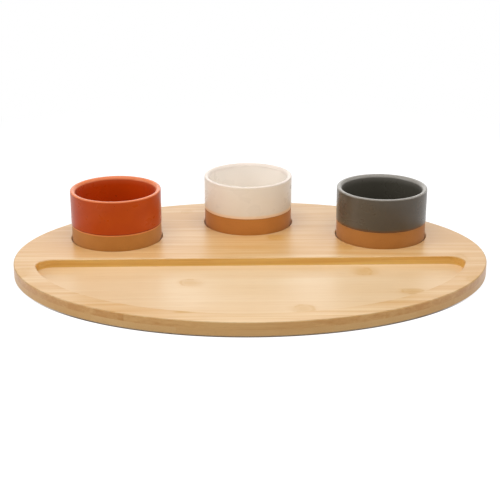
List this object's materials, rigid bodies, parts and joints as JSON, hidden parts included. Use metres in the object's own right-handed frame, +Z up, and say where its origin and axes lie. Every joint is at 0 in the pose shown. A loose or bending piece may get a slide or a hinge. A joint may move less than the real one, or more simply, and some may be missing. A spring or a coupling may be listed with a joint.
{
  "type": "chip and dip server",
  "caption": "Oval bamboo serving board with a half-moon chip pocket and straight-sided dip bowls, half dipped in glaze, that stand loose in round wells.",
  "frame": {"origin": "middle of the board's underside, on the surface it stands on", "axes": "+X along the board's length, to the grey bowl's side; +Y from the chip pocket to the bowls; +Z up"},
  "size_m": [0.4, 0.29, 0.0561],
  "materials": {
    "bamboo": "sanded and lightly oiled",
    "bare_clay": "matte, unglazed",
    "orange_glaze": "semi-gloss with fine dark specks",
    "cream_glaze": "semi-gloss",
    "grey_glaze": "semi-gloss"
  },
  "bodies": {
    "board": {"lower_middle_stave": "bamboo", "lower_front_stave_1": "bamboo", "lower_front_stave_2": "bamboo", "lower_front_stave_3": "bamboo", "lower_front_stave_4": "bamboo", "lower_front_stave_5": "bamboo", "lower_front_stave_6": "bamboo", "lower_back_stave_1": "bamboo", "lower_back_stave_2": "bamboo", "lower_back_stave_3": "bamboo", "lower_back_stave_4": "bamboo", "lower_back_stave_5": "bamboo", "lower_back_stave_6": "bamboo", "upper_front_stave_1": "bamboo", "upper_front_stave_2": "bamboo", "upper_front_stave_3": "bamboo", "upper_front_stave_4": "bamboo", "upper_front_stave_5": "bamboo", "upper_front_stave_6": "bamboo", "upper_back_stave_1": "bamboo", "upper_back_stave_2": "bamboo", "upper_back_stave_3": "bamboo", "upper_back_stave_4": "bamboo", "upper_back_stave_5": "bamboo", "upper_back_stave_6": "bamboo"},
    "orange_bowl": {"orange_bowl_clay": "bare_clay", "orange_bowl_glaze": "orange_glaze"},
    "cream_bowl": {"cream_bowl_clay": "bare_clay", "cream_bowl_glaze": "cream_glaze"},
    "grey_bowl": {"grey_bowl_clay": "bare_clay", "grey_bowl_glaze": "grey_glaze"}
  },
  "joints": [
    {"name": "orange_bowl_lift", "type": "slide", "parent": "board", "child": "orange_bowl", "axis": [0, 0, 1], "range_m": [0, 0.06]},
    {"name": "cream_bowl_lift", "type": "slide", "parent": "board", "child": "cream_bowl", "axis": [0, 0, 1], "range_m": [0, 0.06]},
    {"name": "grey_bowl_lift", "type": "slide", "parent": "board", "child": "grey_bowl", "axis": [0, 0, 1], "range_m": [0, 0.06]}
  ]
}
